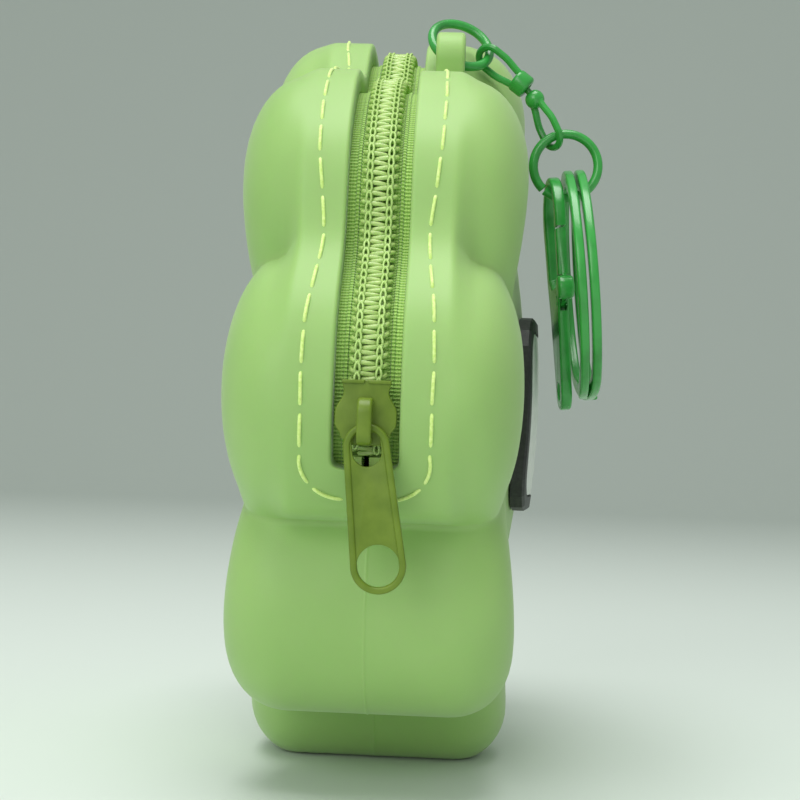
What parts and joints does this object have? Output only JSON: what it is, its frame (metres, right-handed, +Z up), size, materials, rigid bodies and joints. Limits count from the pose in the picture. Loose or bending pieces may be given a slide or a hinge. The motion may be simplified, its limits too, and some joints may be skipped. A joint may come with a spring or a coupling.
{
  "type": "coin purse",
  "caption": "Flower-shaped silicone coin purse standing on a petal, with a coil zipper over its rim, a front badge and a hanging chain of key hardware.",
  "frame": {"origin": "middle of the flat on the bottom petal that the purse stands on", "axes": "X across the flower, Y through its thickness with the badge and chain on -Y, +Z up"},
  "size_m": [0.1079, 0.0494, 0.1054],
  "materials": {
    "silicone": "satin",
    "woven_tape": "matt",
    "nylon_coil": "satin",
    "olive_enamel": "satin",
    "green_enamel": "gloss",
    "badge_black": "satin",
    "badge_white": "satin"
  },
  "bodies": {
    "purse": {"shell": "silicone", "tape_front": "woven_tape", "tape_back": "woven_tape", "coil_front": "nylon_coil", "coil_back": "nylon_coil", "top_stop_front": "nylon_coil", "top_stop_back": "nylon_coil", "bottom_stop": "nylon_coil", "badge_base": "badge_black", "badge_panel": "badge_white"},
    "slider": {"slider_body": "olive_enamel"},
    "pull": {"zip_pull": "olive_enamel"},
    "ring": {"tab_ring": "green_enamel"},
    "swivel_upper": {"swivel_top": "green_enamel"},
    "swivel_lower": {"swivel_bottom": "green_enamel", "swivel_pin": "green_enamel"},
    "jump": {"jump_ring": "green_enamel"},
    "split": {"split_ring": "green_enamel"},
    "clasp": {"clasp_body": "green_enamel", "clasp_pin": "green_enamel"},
    "gate": {"clasp_gate": "green_enamel"}
  },
  "joints": [
    {"name": "slider_travel", "type": "hinge", "parent": "purse", "child": "slider", "pos_m": [0, 0, 0.0514], "axis": [0, 1, 0], "range_deg": [0, 186.5], "deforming": ["coil_front", "coil_back", "tape_front", "tape_back"]},
    {"name": "pull_flip", "type": "hinge", "parent": "slider", "child": "pull", "pos_m": [-0.05326, 0, 0.04656], "axis": [0.0075, 0.9914, -0.1303], "range_deg": [-3, 120]},
    {"name": "tab_ring_swing", "type": "hinge", "parent": "purse", "child": "ring", "pos_m": [-0.01729, -0.0076, 0.09891], "axis": [0, 1, 0], "range_deg": [-12, 9]},
    {"name": "swivel_swing", "type": "hinge", "parent": "ring", "child": "swivel_upper", "pos_m": [-0.0144, -0.01282, 0.09974], "axis": [1, 0, 0], "range_deg": [-40, 2]},
    {"name": "swivel_spin", "type": "hinge", "parent": "swivel_upper", "child": "swivel_lower", "pos_m": [-0.0144, -0.01949, 0.09399], "axis": [0, -0.6494, -0.7604], "range_deg": [-20, 20]},
    {"name": "jump_ring_swing", "type": "hinge", "parent": "swivel_lower", "child": "jump", "pos_m": [-0.0144, -0.02211, 0.08873], "axis": [1, 0, 0], "range_deg": [-15, 2]},
    {"name": "split_ring_swing", "type": "hinge", "parent": "jump", "child": "split", "pos_m": [-0.0144, -0.02521, 0.0818], "axis": [0, 1, 0], "range_deg": [-15, 20]},
    {"name": "clasp_swing", "type": "hinge", "parent": "jump", "child": "clasp", "pos_m": [-0.0144, -0.02235, 0.08196], "axis": [0, 1, 0], "range_deg": [-12, 12]},
    {"name": "clasp_gate_turn", "type": "hinge", "parent": "clasp", "child": "gate", "pos_m": [-0.01759, -0.02409, 0.06555], "axis": [-0.0872, 0.9923, -0.0886], "range_deg": [0, 30], "stiffness_Nm_per_rad": 0.002, "springref_deg": -11.46}
  ]
}
